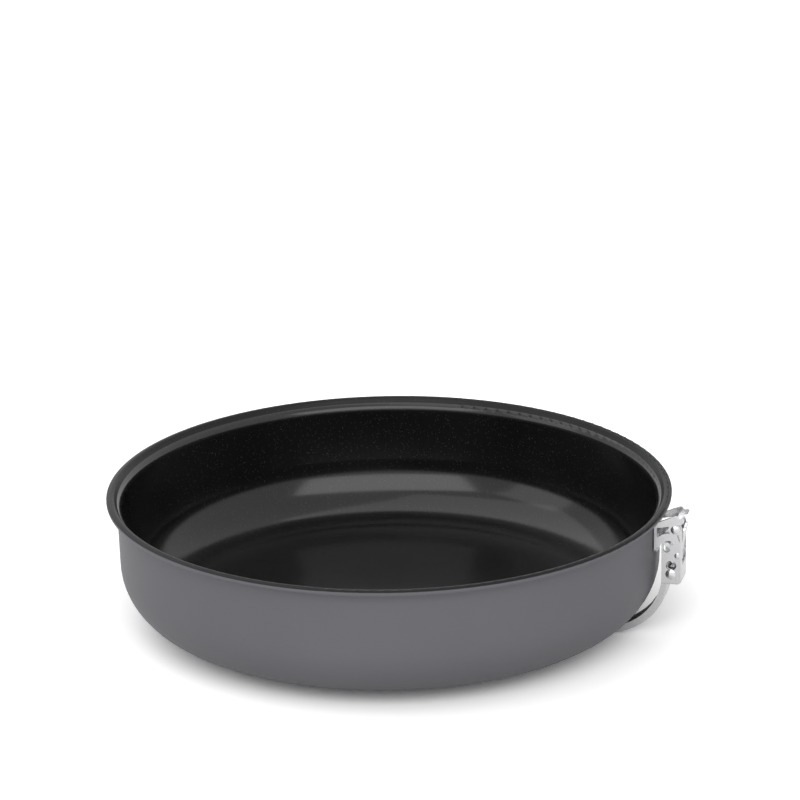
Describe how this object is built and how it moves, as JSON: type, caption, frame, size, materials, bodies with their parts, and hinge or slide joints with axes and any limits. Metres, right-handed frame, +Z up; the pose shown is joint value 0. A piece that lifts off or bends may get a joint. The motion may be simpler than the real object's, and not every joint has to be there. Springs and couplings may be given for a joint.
{
  "type": "folding frying pan",
  "caption": "Shallow aluminium frying pan with a dark ceramic inside and a steel handle that folds round the wall and under the base.",
  "frame": {"origin": "on the bowl's axis at the underside of its flat base", "axes": "+Z up along the bowl's axis, +X from the axis to the handle's hinge, +Y across the handle"},
  "size_m": [0.2674, 0.258, 0.0618],
  "materials": {
    "anodised_aluminium": "satin",
    "ceramic_skin": "gloss",
    "stainless_sheet": "satin",
    "bright_steel": "gloss",
    "spring_steel": "satin"
  },
  "bodies": {
    "pan": {"pan_body": "anodised_aluminium", "ceramic_coating": "ceramic_skin", "hinge_bracket": "stainless_sheet", "bracket_rivets": "bright_steel", "hinge_pin": "bright_steel", "hinge_washers": "bright_steel"},
    "handle": {"handle_channel": "stainless_sheet", "handle_yoke": "stainless_sheet", "yoke_rivet": "bright_steel", "lever_pivot_pin": "bright_steel", "hinge_bush": "bright_steel", "torsion_spring": "spring_steel"},
    "lever": {"lock_lever": "stainless_sheet", "lock_pin": "bright_steel"}
  },
  "joints": [
    {"name": "handle_fold", "type": "hinge", "parent": "pan", "child": "handle", "pos_m": [0.1338, 0, 0.0492], "axis": [0, -1, 0], "range_deg": [0, 180]},
    {"name": "lock_release", "type": "hinge", "parent": "handle", "child": "lever", "pos_m": [0.1348, 0, 0.0362], "axis": [0, 1, 0], "range_deg": [0, 8], "stiffness_Nm_per_rad": 0.02, "springref_deg": 11.46}
  ]
}
